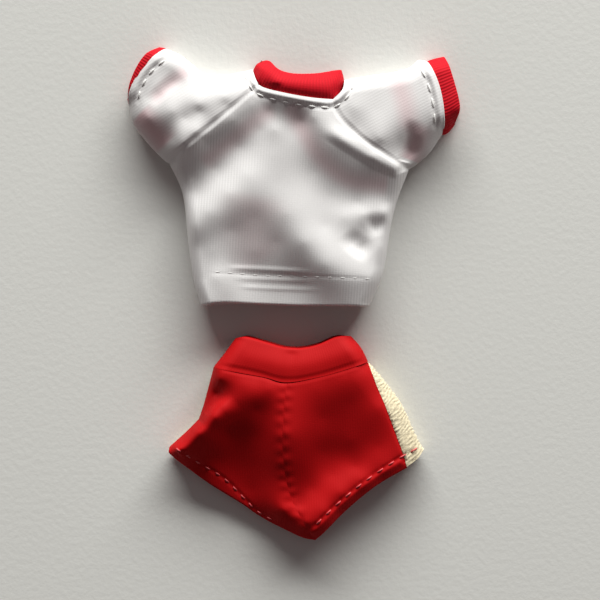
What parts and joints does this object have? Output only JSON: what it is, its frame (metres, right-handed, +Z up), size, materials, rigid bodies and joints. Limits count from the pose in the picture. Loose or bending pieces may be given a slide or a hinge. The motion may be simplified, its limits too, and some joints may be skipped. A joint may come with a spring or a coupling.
{
  "type": "cheer uniform",
  "caption": "Doll-size cheer outfit laid flat: short-sleeved raglan top with contrast neck and cuff bands, and pull-on shorts with a side stripe.",
  "frame": {"origin": "on the surface the outfit lies on, under the middle of its bounding box", "axes": "+Z up, out of the garments' fronts; +Y from the shorts to the neck; +X to the right as the fronts are seen"},
  "size_m": [0.0678, 0.099, 0.0083],
  "materials": {
    "white_knit": "satin",
    "red_rib": "matte",
    "red_knit": "satin",
    "cream_loop": "matte",
    "white_thread": "satin",
    "red_thread": "satin",
    "closure_tape": "matte",
    "elastic_white": "matte"
  },
  "bodies": {
    "top": {"top_front_panel": "white_knit", "top_back_left_panel": "white_knit", "top_back_right_panel": "white_knit", "neck_band": "red_rib", "loop_tape": "closure_tape", "back_underlap": "white_knit", "neck_stitching": "white_thread", "top_hem_stitching": "white_thread"},
    "left_sleeve": {"left_sleeve": "white_knit", "left_cuff_band": "red_rib", "left_cuff_stitching": "white_thread"},
    "right_sleeve": {"right_sleeve": "white_knit", "right_cuff_band": "red_rib", "right_cuff_stitching": "white_thread"},
    "back_flap": {"back_flap": "white_knit", "hook_tape": "closure_tape"},
    "shorts": {"shorts_front_left_panel": "red_knit", "shorts_front_right_panel": "red_knit", "shorts_back_left_panel": "red_knit", "shorts_back_right_panel": "red_knit", "left_side_stripe": "cream_loop", "right_side_stripe": "cream_loop", "waistband": "red_knit", "waist_elastic": "elastic_white", "left_leg_stitching": "red_thread", "right_leg_stitching": "red_thread"}
  },
  "joints": [
    {"name": "left_sleeve_lift", "type": "hinge", "parent": "top", "child": "left_sleeve", "pos_m": [-0.01622, 0.03344, 0.0074], "axis": [0.7752, 0.6318, 0], "range_deg": [0, 60]},
    {"name": "right_sleeve_lift", "type": "hinge", "parent": "top", "child": "right_sleeve", "pos_m": [0.01443, 0.03156, 0.0074], "axis": [0.6924, -0.7215, 0], "range_deg": [0, 60]},
    {"name": "back_flap_open", "type": "hinge", "parent": "top", "child": "back_flap", "pos_m": [0.00197, 0.0171, 0], "axis": [-0.061, -0.9981, 0], "range_deg": [0, 150]},
    {"name": "shorts_slide", "type": "slide", "parent": "top", "child": "shorts", "axis": [0, -1, 0], "range_m": [0, 0.06]}
  ]
}
